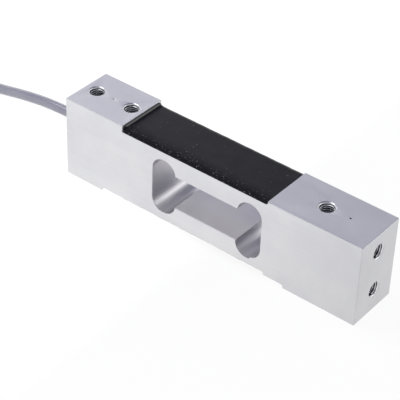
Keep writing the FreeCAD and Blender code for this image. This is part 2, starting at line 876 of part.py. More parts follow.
def coil_solid():
    # The outer shape of the long coil, an oval ring two turns wide and two high, with both its ends.
    radius = cable_diameter.value / 2
    half_run = coil_run.value / 2
    inner = coil_inner_radius.value - radius
    height = coil_pitch.value + 2 * radius
    cut = coil_corner.value
    corners = [
        (inner + cut, 0), (coil_reach - cut, 0), (coil_reach, cut), (coil_reach, height - cut),
        (coil_reach - cut, height), (inner + cut, height), (inner, height - cut), (inner, cut),
    ]
    section = [FreeCAD.Vector(half_run, -out, up) for out, up in corners]
    face = Part.Face(Part.makePolygon(section + section[:1]))
    upright = FreeCAD.Vector(0, 0, 1)
    fold = face.revolve(FreeCAD.Vector(half_run, 0, 0), upright, 180)
    half = fold.fuse(face.extrude(FreeCAD.Vector(-coil_run.value, 0, 0)))
    other = half.copy()
    other.rotate(FreeCAD.Vector(0, 0, 0), upright, 180)
    ring = half.fuse(other)
    ring.translate(FreeCAD.Vector(*coil_centre, 0))
    last = FreeCAD.Vector(*cable_route[-1])
    heading = (last - FreeCAD.Vector(*cable_route[-2])).normalize()
    landing = (coil_centre[0] + entry_landing, coil_centre[1] + coil_inner_radius.value, height - radius)
    entry, _, _ = tube([last, last + heading * entry_straight, landing], 2 * radius)
    tail_start = (coil_centre[0] - half_run, coil_centre[1] - coil_inner_radius.value)
    tail_points = [(tail_start[0] + along, tail_start[1] + across, radius) for along, across in tail_steps]
    tail, _, _ = tube(tail_points, 2 * radius)
    return ring.fuse([entry, tail]).removeSplitter(), tail_points[-1]


def cable_pieces():
    items = []
    solid, length, radii = tube(cable_route, cable_diameter.value)
    print("cable: run length", round(length, 1), "radii", [round(radius, 1) for radius in radii])
    items.append(feature("cable", solid))
    coil, end = coil_solid()
    items.append(feature("cable_coil", coil))
    radius = lead_diameter.value / 2
    lead_starts = {
        "red": (lead_outer_side.value, lead_rise.value),
        "black": (lead_inner_side.value, -lead_rise.value),
        "green": (-lead_inner_side.value, -lead_rise.value),
        "white": (-lead_outer_side.value, lead_rise.value),
    }
    for colour, route in lead_paths.items():
        side, lift = lead_starts[colour]
        points = [(end[0] + along, end[1] + side, end[2] + lift) for along in (0, lead_straight)]
        points += [(end[0] + along, end[1] + across, radius) for along, across in route]
        solid, length, radii = tube(points, lead_diameter.value)
        print(f"lead {colour}: length", round(length, 1), "radii", [round(value, 1) for value in radii])
        heading = FreeCAD.Vector(*points[-1]) - FreeCAD.Vector(*points[-2])
        tip_end = FreeCAD.Vector(*points[-1]) + heading.normalize() * lead_tip_length.value
        tip = rod(points[-1], tip_end, lead_tip_diameter.value)
        items.append(feature(f"lead_{colour}", solid.fuse(tip)))
    return items


def load_cell():
    parts = [beam()]
    cores = cable_cores()
    links = link_wires()
    parts += cores + [links]
    parts.append(jacket_end())
    parts.append(ring("cable_seal", entry_diameter, cable_diameter, -half_length, seal_length))
    parts.append(ring("shield_ring", entry_diameter, cable_diameter, seal_length - half_length,
                      entry_depth - seal_length))
    sides = {"top": (recess_floor, 1), "bottom": (recess_ceiling, -1)}
    for name, (level, facing) in sides.items():
        embedded = []
        board_level = level if facing > 0 else level - board_thickness
        board = plate("terminal_board" if facing > 0 else "lower_board", board_left, as_size(0), board_level,
                      board_length, board_width, board_thickness, board_corner)
        embedded.append(board)
        for place_name, place in flexure_places.items():
            label = f"{name}_{place_name}_end"
            upside_down = facing < 0
            embedded.append(gauge_film(f"gauge_film_{label}", place, level, upside_down))
            grid_level = level + film_thickness * facing
            embedded.append(gauge_grid(f"gauge_grid_{label}", place, grid_level, upside_down))
        jumpers = jumper_wires(f"{name}_jumper_wires", level, facing)
        wires = [jumpers, links] + (cores if facing > 0 else [])
        solder = solder_joints(f"{name}_solder", level, facing, wires)
        embedded += [jumpers, solder]
        if facing > 0:
            board_face = board_level + board_thickness
            embedded.append(chip_resistor("span_resistor", resistor_spread, board_face))
            embedded.append(chip_resistor("zero_resistor", -resistor_spread, board_face))
        document.recompute()
        resin = cut_from(f"{name}_potting", resin_blank(f"{name}_resin", facing),
                         embedded + [links] + (cores if facing > 0 else []))
        parts += embedded + [resin]
    parts += cable_pieces()
    return parts


def check_document():
    for item in document.Objects:
        states = [state for state in item.State if state in ("Invalid", "Error")]
        if states:
            raise RuntimeError(f"{item.Label} is in state {states}")


def write_parts(parts):
    os.makedirs("parts", exist_ok=True)
    for item in parts:
        if item.Shape.isNull() or not item.Shape.isValid():
            raise RuntimeError(f"{item.Label} has no valid shape")
    for item in parts:
        item.Shape.exportStep(f"parts/{item.Label}.step")
        print(item.Label, "solids", len(item.Shape.Solids), "volume", round(item.Shape.Volume, 3))


pieces = load_cell()
document.recompute()
check_document()
write_parts(pieces)
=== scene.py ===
import json
import math

import bmesh
import bpy
from mathutils import Matrix, Vector, noise

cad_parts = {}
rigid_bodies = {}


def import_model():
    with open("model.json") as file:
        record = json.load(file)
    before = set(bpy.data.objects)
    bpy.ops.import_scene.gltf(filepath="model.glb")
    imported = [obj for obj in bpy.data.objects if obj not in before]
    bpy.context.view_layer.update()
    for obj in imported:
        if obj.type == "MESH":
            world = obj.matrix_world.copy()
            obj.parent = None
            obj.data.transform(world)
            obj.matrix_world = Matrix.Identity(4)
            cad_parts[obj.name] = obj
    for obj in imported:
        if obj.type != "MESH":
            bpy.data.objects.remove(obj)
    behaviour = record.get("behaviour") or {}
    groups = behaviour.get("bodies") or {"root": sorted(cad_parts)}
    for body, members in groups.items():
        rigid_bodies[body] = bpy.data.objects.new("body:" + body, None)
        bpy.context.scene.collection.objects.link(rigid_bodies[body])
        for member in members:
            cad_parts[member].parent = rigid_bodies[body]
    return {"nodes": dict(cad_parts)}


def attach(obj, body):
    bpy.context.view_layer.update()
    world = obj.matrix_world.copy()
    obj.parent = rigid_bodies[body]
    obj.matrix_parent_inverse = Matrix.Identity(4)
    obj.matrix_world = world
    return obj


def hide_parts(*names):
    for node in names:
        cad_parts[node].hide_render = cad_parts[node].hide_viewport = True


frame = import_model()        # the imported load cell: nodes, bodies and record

for item in list(bpy.data.objects):
    if item.name in ("Cube", "Camera", "Light"):      # what a new file holds
        bpy.data.objects.remove(item)
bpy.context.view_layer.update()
scene = bpy.context.scene
mm = 0.001


def metres(point):
    return Vector(point) * mm


# Camera: the photograph's view from above the front, turned round to the load end.
viewPlan = {
    "target": (0, -0.2, 20),
    "distance": 645.614,
    "azimuth": -53.68,
    "elevation": 37.22,
    "roll": 2.85,
    "lens": 142.24,
    "sensor": 36,
    "shift": (-0.0583, -0.0156),
    "clip": (0.01, 50),
}


def makeCamera(plan):
    azimuth, elevation, roll = (math.radians(plan[key]) for key in ("azimuth", "elevation", "roll"))
    away = Vector((math.cos(elevation) * math.cos(azimuth), math.cos(elevation) * math.sin(azimuth),
                   math.sin(elevation)))
    level = (-away).cross(Vector((0, 0, 1))).normalized()
    upright = level.cross(-away)
    across = level * math.cos(roll) + upright * math.sin(roll)
    up = upright * math.cos(roll) - level * math.sin(roll)
    camera = bpy.data.objects.new("photoCamera", bpy.data.cameras.new("photoCamera"))
    camera.data.lens = plan["lens"]
    camera.data.sensor_width = plan["sensor"]
    camera.data.shift_x, camera.data.shift_y = plan["shift"]
    camera.data.clip_start, camera.data.clip_end = plan["clip"]
    place = Matrix((across, up, away)).transposed().to_4x4()
    place.translation = metres(plan["target"]) + away * plan["distance"] * mm
    camera.matrix_world = place
    scene.collection.objects.link(camera)
    scene.camera = camera


makeCamera(viewPlan)
print("camera placed")


# Shader groups. Each puts out masks or values that change over a surface.
def newGroup(name, inputs, outputs):
    group = bpy.data.node_groups.new(name, "ShaderNodeTree")
    for label, kind, value in inputs:
        socket = group.interface.new_socket(label, in_out="INPUT", socket_type=kind)
        if value is not None:
            socket.default_value = value
    for label, kind in outputs:
        group.interface.new_socket(label, in_out="OUTPUT", socket_type=kind)
    return group, group.nodes.new("NodeGroupInput"), group.nodes.new("NodeGroupOutput")


def mathNode(tree, kind, first, second, clamp=False):
    node = tree.nodes.new("ShaderNodeMath")
    node.operation = kind
    node.use_clamp = clamp
    for socket, value in zip(node.inputs, (first, second)):
        if isinstance(value, (int, float)):
            socket.default_value = value
        else:
            tree.links.new(value, socket)
    return node.outputs[0]


def noiseNode(tree, vector, scale, detail, roughness):
    node = tree.nodes.new("ShaderNodeTexNoise")
    node.inputs["Detail"].default_value = detail
    node.inputs["Roughness"].default_value = roughness
    tree.links.new(vector, node.inputs["Vector"])
    tree.links.new(scale, node.inputs["Scale"])
    return node.outputs["Fac"]


def makeGrainGroup():
    # Fine even grain over broad soft blotches, as blasted, cast or moulded surfaces have.
    group, given, result = newGroup(
        "fineGrain",
        [("Vector", "NodeSocketVector", None), ("Grain Scale", "NodeSocketFloat", 5000.0),
         ("Blotch Scale", "NodeSocketFloat", 60.0)],
        [("Grain", "NodeSocketFloat"), ("Blotches", "NodeSocketFloat")])
    grain = noiseNode(group, given.outputs["Vector"], given.outputs["Grain Scale"], 2.0, 0.6)
    blotches = noiseNode(group, given.outputs["Vector"], given.outputs["Blotch Scale"], 3.0, 0.55)
    group.links.new(grain, result.inputs["Grain"])
    group.links.new(blotches, result.inputs["Blotches"])
    return group


def makeSpeckGroup():
    # Thinly strewn small specks, such as dust on dark resin: a share of the cells, each with its own size.
    group, given, result = newGroup(
        "strewnSpecks",
        [("Vector", "NodeSocketVector", None), ("Scale", "NodeSocketFloat", 500.0),
         ("Share", "NodeSocketFloat", 0.1), ("Size", "NodeSocketFloat", 0.15)],
        [("Specks", "NodeSocketFloat")])
    cells = group.nodes.new("ShaderNodeTexVoronoi")
    cells.voronoi_dimensions = "2D"
    cells.inputs["Randomness"].default_value = 1.0
    group.links.new(given.outputs["Vector"], cells.inputs["Vector"])
    group.links.new(given.outputs["Scale"], cells.inputs["Scale"])
    chance = group.nodes.new("ShaderNodeSeparateColor")
    group.links.new(cells.outputs["Color"], chance.inputs[0])
    chosen = mathNode(group, "LESS_THAN", chance.outputs[0], given.outputs["Share"])
    reach = mathNode(group, "MULTIPLY", given.outputs["Size"], chance.outputs[1])
    apart = mathNode(group, "DIVIDE", cells.outputs["Distance"], reach)
    near = mathNode(group, "SUBTRACT", 1.0, apart, True)
    specks = mathNode(group, "MULTIPLY", chosen, mathNode(group, "SMOOTH_MIN", near, 1.0))
    group.links.new(specks, result.inputs["Specks"])
    return group


def makeCutGroup():
    # Fine parallel cutter lines, drawn out along the axis with the smallest stretch.
    group, given, result = newGroup(
        "cutterLines",
        [("Vector", "NodeSocketVector", None), ("Stretch", "NodeSocketVector", (1.0, 0.02, 1.0)),
         ("Scale", "NodeSocketFloat", 2500.0)],
        [("Lines", "NodeSocketFloat")])
    stretched = group.nodes.new("ShaderNodeVectorMath")
    stretched.operation = "MULTIPLY"
    group.links.new(given.outputs["Vector"], stretched.inputs[0])
    group.links.new(given.outputs["Stretch"], stretched.inputs[1])
    lines = noiseNode(group, stretched.outputs[0], given.outputs["Scale"], 2.0, 0.6)
    group.links.new(lines, result.inputs["Lines"])
    return group


grainGroup, speckGroup, cutGroup = makeGrainGroup(), makeSpeckGroup(), makeCutGroup()


def useGroup(tree, group, vector, **values):
    node = tree.nodes.new("ShaderNodeGroup")
    node.node_tree = group
    tree.links.new(vector, node.inputs["Vector"])
    for label, value in values.items():
        node.inputs[label.replace("_", " ")].default_value = value
    return node


def mixColour(tree, factor, first, second):
    node = tree.nodes.new("ShaderNodeMix")
    node.data_type = "RGBA"
    tree.links.new(factor, node.inputs["Factor"])
    for socket, value in ((node.inputs["A"], first), (node.inputs["B"], second)):
        if isinstance(value, tuple):
            socket.default_value = (*value, 1.0)
        else:
            tree.links.new(value, socket)
    return node.outputs["Result"]


def ranged(tree, value, low, high, fromLow=0.35, fromHigh=0.65):
    # The value brought to the range from low to high; a noise mostly lies between 0.35 and 0.65.
    node = tree.nodes.new("ShaderNodeMapRange")
    node.inputs["From Min"].default_value = fromLow
    node.inputs["From Max"].default_value = fromHigh
    node.inputs["To Min"].default_value = low
    node.inputs["To Max"].default_value = high
    tree.links.new(value, node.inputs["Value"])
    return node.outputs["Result"]


def axisOf(tree, vector, axis):
    apart = tree.nodes.new("ShaderNodeSeparateXYZ")
    tree.links.new(vector, apart.inputs[0])
    return apart.outputs[axis]


def newFinish(name, finish):
    # One material: blotches between two colours, fine grain and, where asked, cutter lines, specks and a
    # band across Y that is rougher, with dust specks and painted glints.
    material = bpy.data.materials.new(name)
    material.use_nodes = True
    tree = material.node_tree
    shader = tree.nodes["Principled BSDF"]
    place = tree.nodes.new("ShaderNodeTexCoord").outputs["Object"]
    finish = {**plainFinish, **finish}
    grain = useGroup(tree, grainGroup, place, Grain_Scale=finish["grain"], Blotch_Scale=finish["blotch"])
    blotches = ranged(tree, grain.outputs["Blotches"], 0.0, 1.0)
    colour = mixColour(tree, blotches, finish["dark"], finish["light"])
    height = grain.outputs["Grain"]
    roughness = ranged(tree, grain.outputs["Grain"], *finish["rough"])
    if "cut" in finish:
        cut = useGroup(tree, cutGroup, place, **finish["cut"])
        height = mathNode(tree, "ADD", height, cut.outputs["Lines"])
        roughness = mathNode(tree, "ADD", roughness, ranged(tree, cut.outputs["Lines"], *finish["cutRough"]))
    for layer in ("specks", "dustAndGlints"):
        if layer not in finish:
            continue
        specks = useGroup(tree, speckGroup, place, **finish[layer]).outputs["Specks"]
        if layer == "dustAndGlints":
            # the band across Y: light specks for dust and painted glints of small pits, thickest at the front
            band = ranged(tree, axisOf(tree, place, "Y"), 1.0, 0.0, *finish["dustAndGlintBand"])
            specks = mathNode(tree, "MULTIPLY", specks, band)
            dustRoughness = mathNode(tree, "MULTIPLY", band, finish["dustRough"])
            roughness = mathNode(tree, "ADD", roughness, dustRoughness)
        colour = mixColour(tree, specks, colour, finish["speckColour"])
        height = mathNode(tree, "ADD", height, specks)
    bump = tree.nodes.new("ShaderNodeBump")
    bump.inputs["Strength"].default_value = finish["bump"]
    bump.inputs["Distance"].default_value = finish["relief"]
    tree.links.new(height, bump.inputs["Height"])
    tree.links.new(bump.outputs["Normal"], shader.inputs["Normal"])
    tree.links.new(colour, shader.inputs["Base Color"])
    tree.links.new(roughness, shader.inputs["Roughness"])
    shader.inputs["Metallic"].default_value = finish["metal"]
    for label in ("Coat Weight", "Coat Roughness", "Specular IOR Level"):
        if label in finish:
            shader.inputs[label].default_value = finish[label]
    return material


# Finishes: dark and light are colours, rough is a range, and grain, blotch and Scale count per metre. Relief,
# the bump's depth, and dustAndGlintBand, the Y with full dust and painted glints and the Y with none, are in
# metres.
plainFinish = {"grain": 4000.0, "blotch": 80.0, "bump": 0.3, "relief": 0.00004, "metal": 0.0,
               "cutRough": (-0.05, 0.05)}
finishes = {
    "beamAluminium": {"dark": (0.725, 0.725, 0.75), "light": (0.775, 0.775, 0.795), "metal": 1.0,
                      "rough": (0.38, 0.5), "grain": 3800.0, "blotch": 45.0, "bump": 0.35, "relief": 0.00003,
                      "cut": {"Stretch": (0.03, 1.0, 1.0), "Scale": 900.0}},
    # painted shade: the window's walls are a darker aluminium than the outside, for the shade in the pocket;
    # their cutter lines are their own
    "shadedWindowAluminium": {"dark": (0.655, 0.645, 0.67), "light": (0.705, 0.695, 0.72), "metal": 1.0,
                        "rough": (0.36, 0.46), "grain": 4200.0, "blotch": 60.0, "bump": 0.2,
                        "relief": 0.000012, "cut": {"Stretch": (1.0, 0.015, 1.0), "Scale": 1900.0}},
    "sinkAluminium": {"dark": (0.76, 0.76, 0.79), "light": (0.84, 0.84, 0.86), "metal": 1.0,
                      "rough": (0.24, 0.36), "grain": 4500.0, "blotch": 200.0, "bump": 0.2,
                      "relief": 0.00003},
    # painted shade: the bores' walls and the punch mark are nearly black aluminium, for the shade deep inside
    # them
    "shadedBoreAluminium": {"dark": (0.1, 0.1, 0.12), "light": (0.18, 0.18, 0.2), "metal": 1.0,
                        "rough": (0.2, 0.32), "grain": 4500.0, "blotch": 500.0, "bump": 0.2,
                        "relief": 0.00003},
    "pottingResin": {"dark": (0.001, 0.001, 0.0035), "light": (0.003, 0.003, 0.0075),
                     "rough": (0.3, 0.4), "grain": 2200.0, "blotch": 120.0, "bump": 0.3,
                     "relief": 0.00004, "Specular IOR Level": 0.32, "speckColour": (0.25, 0.25, 0.26),
                     "specks": {"Scale": 420.0, "Share": 0.09, "Size": 0.16},
                     # dust specks and painted glints of small pits, thickest on the resin's front band
                     "dustAndGlints": {"Scale": 1500.0, "Share": 0.22, "Size": 0.5}, "dustAndGlintBand": (-0.0115, -0.0045),
                     "dustRough": 0.45},
    "meniscusResin": {"dark": (0.001, 0.001, 0.002), "light": (0.002, 0.002, 0.004), "rough": (0.12, 0.18),
                      "grain": 2200.0, "blotch": 120.0, "bump": 0.1, "Specular IOR Level": 0.6},
    "cableJacket": {"dark": (0.34, 0.34, 0.41), "light": (0.37, 0.37, 0.44), "rough": (0.24, 0.32),
                    "grain": 1800.0, "blotch": 90.0, "bump": 0.1, "relief": 0.00002,
                    "Coat Weight": 1.0, "Coat Roughness": 0.16},
    "coreRed": {"dark": (0.42, 0.012, 0.01), "light": (0.5, 0.02, 0.014), "rough": (0.3, 0.42)},
    "coreBlack": {"dark": (0.008, 0.008, 0.008), "light": (0.014, 0.014, 0.014), "rough": (0.3, 0.42)},
    "coreGreen": {"dark": (0.008, 0.16, 0.035), "light": (0.012, 0.2, 0.045), "rough": (0.3, 0.42)},
    "coreWhite": {"dark": (0.68, 0.68, 0.65), "light": (0.76, 0.76, 0.74), "rough": (0.3, 0.42)},
    "enamelledWire": {"dark": (0.34, 0.09, 0.03), "light": (0.45, 0.13, 0.04), "rough": (0.18, 0.28),
                      "metal": 0.7, "Coat Weight": 0.5},
    "sealRubber": {"dark": (0.012, 0.012, 0.013), "light": (0.022, 0.022, 0.024), "rough": (0.55, 0.75),
                   "grain": 3000.0, "bump": 0.5},
    "shieldCopper": {"dark": (0.5, 0.45, 0.4), "light": (0.62, 0.57, 0.5), "rough": (0.28, 0.44),
                     "metal": 1.0, "cut": {"Stretch": (1.0, 1.0, 0.2), "Scale": 3500.0}},
    "boardLaminate": {"dark": (0.03, 0.12, 0.05), "light": (0.045, 0.16, 0.07), "rough": (0.3, 0.45),
                      "grain": 3500.0, "cut": {"Stretch": (1.0, 0.1, 1.0), "Scale": 3000.0}},
    "solderTin": {"dark": (0.52, 0.52, 0.53), "light": (0.68, 0.68, 0.69), "rough": (0.2, 0.36),
                  "metal": 1.0, "grain": 5000.0, "blotch": 900.0},
    "resistorBody": {"dark": (0.02, 0.02, 0.022), "light": (0.035, 0.035, 0.038), "rough": (0.35, 0.5),
                     "specks": {"Scale": 3000.0, "Share": 0.2, "Size": 0.3},
                     "speckColour": (0.1, 0.1, 0.1)},
    "gaugeFilm": {"dark": (0.42, 0.21, 0.05), "light": (0.5, 0.26, 0.07), "rough": (0.2, 0.3),
                  "Coat Weight": 0.3},
    "gaugeFoil": {"dark": (0.5, 0.47, 0.42), "light": (0.6, 0.57, 0.52), "rough": (0.22, 0.34),
                  "metal": 1.0, "cut": {"Stretch": (0.05, 1.0, 1.0), "Scale": 5000.0}},
    "tieStrap": {"dark": (0.01, 0.01, 0.011), "light": (0.018, 0.018, 0.02), "rough": (0.35, 0.5)},
}
materials = {name: newFinish(name, finish) for name, finish in finishes.items()}

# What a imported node's name holds, and the finish that it gets; the longest match counts.
nodeFinishes = {
    "core_red": "coreRed", "core_black": "coreBlack", "core_green": "coreGreen", "core_white": "coreWhite",
    "link_wires": "enamelledWire", "jumper_wires": "enamelledWire", "cable_jacket_end": "cableJacket",
    "cable_seal": "sealRubber", "shield_ring": "shieldCopper", "board": "boardLaminate",
    "solder": "solderTin", "resistor": "resistorBody", "gauge_film": "gaugeFilm",
    "gauge_grid": "gaugeFoil", "lead_red": "coreRed", "lead_black": "coreBlack",
    "lead_green": "coreGreen", "lead_white": "coreWhite", "potting": "pottingResin",
    "cable": "cableJacket", "cable_coil": "cableJacket", "beam_body": "beamAluminium",
}


def dressNodes():
    for name, node in frame["nodes"].items():
        fits = [key for key in nodeFinishes if key in name]
        finish = materials[nodeFinishes[max(fits, key=len)]]
        for materialSlot in node.material_slots:
            materialSlot.link = "OBJECT"
            materialSlot.material = finish


dressNodes()
print("finishes made:", len(materials))


def newPiece(name, mesh, finish, stoodFor=()):
    # A finish of None leaves the materials that the mesh has.
    piece = bpy.data.objects.new(name, mesh)
    scene.collection.objects.link(piece)
    if finish is not None:
        mesh.materials.append(materials[finish])
    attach(piece, "root")
    if stoodFor:
        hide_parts(*stoodFor)
    return piece


# Cable: one smooth line from the entry to the put-away coil, which is long and wound in two layers.
cablePlan = {
    "diameter": 4.6,
    "route": [(-75, 0, 21.7), (-92, 0, 21.7), (-110.5, 0, 19.2), (-128, 0, 15.2), (-143, 0, 13.2)],
    "centre": (-198.3, -8.1),
    "run": 76,
    "innerRadius": 13.8,
    "turns": 3.5,
    "runPoints": 4,
    "foldPoints": 8,
    "out": [(0, 0), (1, 0), (1.15, 4.7), (2.5, 4.7), (2.75, 0), (3.5, 0)],    # turns gone, millimetres out
    "up": [(0, 12.2), (0.06, 12.2), (0.36, 7), (1.75, 7), (2, 2.3), (3.5, 2.3)],
    "tail": [(12, 0), (32, 9.8), (42, 9.8)],
    "length": 1.005,
}


def easedBetween(stations, gone):
    # Stations are pairs of turns gone and height or offset, with a smooth step from each to the next.
    for (first, low), (last, high) in zip(stations, stations[1:]):
        if gone <= last:
            share = min(max((gone - first) / (last - first), 0.0), 1.0)
            return low + (high - low) * share * share * (3 - 2 * share)
    return stations[-1][1]


def coilPoints(plan):
    # Each turn is a run away from the beam, the far fold, the run back and the near fold.
    halfRun = plan["run"] / 2
    spread = 1 / math.cos(math.pi / plan["foldPoints"] / 2)
    steps = [(share / (plan["runPoints"] + 1), None) for share in range(1, plan["runPoints"] + 1)]
    folds = [(None, (share + 0.5) / plan["foldPoints"]) for share in range(plan["foldPoints"])]
    points = [(halfRun, plan["innerRadius"], plan["up"][0][1])]
    for part in range(round(plan["turns"] * 4)):
        back = -1 if part % 4 in (2, 3) else 1
        for alongRun, alongFold in (folds if part % 2 else steps):
            share = alongRun if alongFold is None else alongFold
            gone = (part + share) / 4
            radius = plan["innerRadius"] + easedBetween(plan["out"], gone)
            if alongFold is None:
                x, y = halfRun - plan["run"] * share, radius
            else:
                x = -halfRun - radius * spread * math.sin(math.pi * share)
                y = radius * spread * math.cos(math.pi * share)
            points.append((x * back, y * back, easedBetween(plan["up"], gone)))
    points += [(-halfRun + along, -plan["innerRadius"] + across, plan["diameter"] / 2)
               for along, across in plan["tail"]]
    return [(x + plan["centre"][0], y + plan["centre"][1], z) for x, y, z in points]


def newCord(name, points, diameter, finish, stoodFor, resolution=6, roundness=5):
    curve = bpy.data.curves.new(name, "CURVE")
    curve.dimensions = "3D"
    spline = curve.splines.new("NURBS")
    spline.points.add(len(points) - 1)
    for place, point in zip(spline.points, points):
        place.co = (*metres(point), 1.0)
    spline.order_u = 3
    spline.use_endpoint_u = True
    spline.resolution_u = resolution
    curve.bevel_depth = diameter * mm / 2
    curve.bevel_resolution = roundness
    curve.use_fill_caps = True
    return newPiece(name, curve, finish, stoodFor)


cablePoints = cablePlan["route"] + coilPoints(cablePlan)
cable = newCord("cable_line", cablePoints, cablePlan["diameter"], "cableJacket",
                ("cable", "cable_coil"))
print("cable points:", len(cablePoints))

# Leads: four stripped cores on the floor past the jacket's end, each with a tinned tip.
leadPlan = {
    "diameter": 1.0,
    "tipDiameter": 0.6,
    "tipLength": 6,
    "tipOverlap": 0.2,
    "tipTwist": {"Turns": 1.5, "Wire Sides": 8, "Strands": 6, "Steps": 16},
    "strandOut": 0.62,      # the strands' place and thickness, in shares of the tip's radius
    "strandRadius": 0.4,
    "resolution": 12,
    "straight": 9,
    "starts": {"red": (1.1, 0.6), "black": (0.55, -0.6), "green": (-0.55, -0.6), "white": (-1.1, 0.6)},
    "paths": {"red": [(17, 4), (30.5, 7.6)], "black": [(16, 1.9), (32, 3.6)],
              "green": [(18, 0.2), (31.5, 0)], "white": [(15.5, -1.4), (31, -2.8)]},
    "lengths": {"red": 0.0312, "black": 0.0321, "green": 0.0315, "white": 0.0312},
}


def leadPoints(plan, colour, end):
    side, lift = plan["starts"][colour]
    points = [(end[0] + along, end[1] + side, end[2] + lift) for along in (0, plan["straight"])]
    return points + [(end[0] + along, end[1] + across, plan["diameter"] / 2)
                     for along, across in plan["paths"][colour]]


# Helix tree: strands wound round the Z axis, set on each point and turned as its "turn" says.
def makeHelixTree():
    tree = bpy.data.node_groups.new("woundHelix", "GeometryNodeTree")
    sizes = [("Turns", 8.0), ("Coil Radius", 0.003), ("Height", 0.01), ("Wire Radius", 0.0005)]
    counts = [("Wire Sides", 4), ("Strands", 1), ("Steps", 40)]
    tree.interface.new_socket("Geometry", in_out="INPUT", socket_type="NodeSocketGeometry")
    for label, value in sizes:
        tree.interface.new_socket(label, in_out="INPUT", socket_type="NodeSocketFloat").default_value = value
    for label, value in counts:
        tree.interface.new_socket(label, in_out="INPUT", socket_type="NodeSocketInt").default_value = value
    tree.interface.new_socket("Material", in_out="INPUT", socket_type="NodeSocketMaterial")
    tree.interface.new_socket("Geometry", in_out="OUTPUT", socket_type="NodeSocketGeometry")
    given, result = tree.nodes.new("NodeGroupInput"), tree.nodes.new("NodeGroupOutput")
    link = tree.links.new
    spiral = tree.nodes.new("GeometryNodeCurveSpiral")
    link(given.outputs["Steps"], spiral.inputs["Resolution"])
    link(given.outputs["Turns"], spiral.inputs["Rotations"])
    link(given.outputs["Coil Radius"], spiral.inputs["Start Radius"])
    link(given.outputs["Coil Radius"], spiral.inputs["End Radius"])
    link(given.outputs["Height"], spiral.inputs["Height"])
    upright = tree.nodes.new("GeometryNodeSetCurveNormal")
    upright.mode = "Z_UP"
    link(spiral.outputs["Curve"], upright.inputs["Curve"])
    section = tree.nodes.new("GeometryNodeCurvePrimitiveCircle")
    link(given.outputs["Wire Sides"], section.inputs["Resolution"])
    link(given.outputs["Wire Radius"], section.inputs["Radius"])
    wire = tree.nodes.new("GeometryNodeCurveToMesh")
    wire.inputs["Fill Caps"].default_value = True
    link(upright.outputs["Curve"], wire.inputs["Curve"])
    link(section.outputs["Curve"], wire.inputs["Profile Curve"])
    ends = tree.nodes.new("GeometryNodePoints")
    link(given.outputs["Strands"], ends.inputs["Count"])
    number = tree.nodes.new("GeometryNodeInputIndex")
    strandAngle = mathNode(tree, "DIVIDE", 2 * math.pi, given.outputs["Strands"])
    around = tree.nodes.new("ShaderNodeCombineXYZ")
    link(mathNode(tree, "MULTIPLY", number.outputs[0], strandAngle), around.inputs["Z"])
    strands = tree.nodes.new("GeometryNodeInstanceOnPoints")
    link(ends.outputs[0], strands.inputs["Points"])
    link(wire.outputs["Mesh"], strands.inputs["Instance"])
    link(around.outputs[0], strands.inputs["Rotation"])
    bundle = tree.nodes.new("GeometryNodeRealizeInstances")
    link(strands.outputs[0], bundle.inputs[0])
    turn = tree.nodes.new("GeometryNodeInputNamedAttribute")
    turn.data_type = "FLOAT_VECTOR"
    turn.inputs["Name"].default_value = "turn"
    placed = tree.nodes.new("GeometryNodeInstanceOnPoints")
    link(given.outputs["Geometry"], placed.inputs["Points"])
    link(bundle.outputs[0], placed.inputs["Instance"])
    link(turn.outputs[0], placed.inputs["Rotation"])
    real = tree.nodes.new("GeometryNodeRealizeInstances")
    link(placed.outputs[0], real.inputs[0])
    coloured = tree.nodes.new("GeometryNodeSetMaterial")
    link(real.outputs[0], coloured.inputs["Geometry"])
    link(given.outputs["Material"], coloured.inputs["Material"])
    link(coloured.outputs[0], result.inputs[0])
    return tree


helixTree = makeHelixTree()


def woundMesh(name, places, turns, values, finish):
    # The helix tree's result on the given places, as a plain mesh.
    seeds = bpy.data.meshes.new(name + "Seeds")
    seeds.from_pydata([metres(place) for place in places], [], [])
    attribute = seeds.attributes.new("turn", "FLOAT_VECTOR", "POINT")
    for item, turn in zip(attribute.data, turns):
        item.vector = turn
    holder = bpy.data.objects.new(name + "Seeds", seeds)
    scene.collection.objects.link(holder)
    modifier = holder.modifiers.new("helix", "NODES")
    modifier.node_group = helixTree
    sockets = {item.name: item.identifier for item in helixTree.interface.items_tree
               if item.in_out == "INPUT"}
    for label, value in values.items():
        modifier[sockets[label]] = value
    modifier[sockets["Material"]] = materials[finish]
    graph = bpy.context.evaluated_depsgraph_get()
    mesh = bpy.data.meshes.new_from_object(holder.evaluated_get(graph))
    mesh.name = name
    bpy.data.objects.remove(holder)
    return mesh


def makeLeads(plan, end):
    for colour in plan["starts"]:
        points = leadPoints(plan, colour, end)
        lead = newCord("lead_line_" + colour, points, plan["diameter"], "core" + colour.title(),
                       ("lead_" + colour,), plan["resolution"])
        start, before = Vector(points[-1]), Vector(points[-2])
        heading = (start - before).normalized()
        turn = heading.to_track_quat("Z", "Y").to_euler()
        radius = plan["tipDiameter"] / 2
        size = {"Coil Radius": radius * plan["strandOut"] * mm, "Height": plan["tipLength"] * mm,
                "Wire Radius": radius * plan["strandRadius"] * mm, **plan["tipTwist"]}
        inside = tuple(start - heading * plan["tipOverlap"])
        mesh = woundMesh("lead_tip_" + colour, [inside], [turn], size, "solderTin")
        mesh.shade_smooth()
        tip = newPiece("lead_tip_" + colour, mesh, None)


makeLeads(leadPlan, cablePoints[-1])
print("leads laid")


# Coil ties: a flat twist tie round each side of the coil, its ends wound together on top.
tiePlan = {
    "inner": 11.55,
    "outer": 20.72,
    "top": 9.3,
    "bottom": 0.3,
    "corner": 2.2,
    "width": 3.0,
    "thickness": 0.3,
    "twistLength": 15,
    "twistTurns": 4,
    "twistSteps": 12,       # in each turn
    "twistRise": 1.2,       # its middle above the band
    "twistHalf": 1.05,      # half its width
}


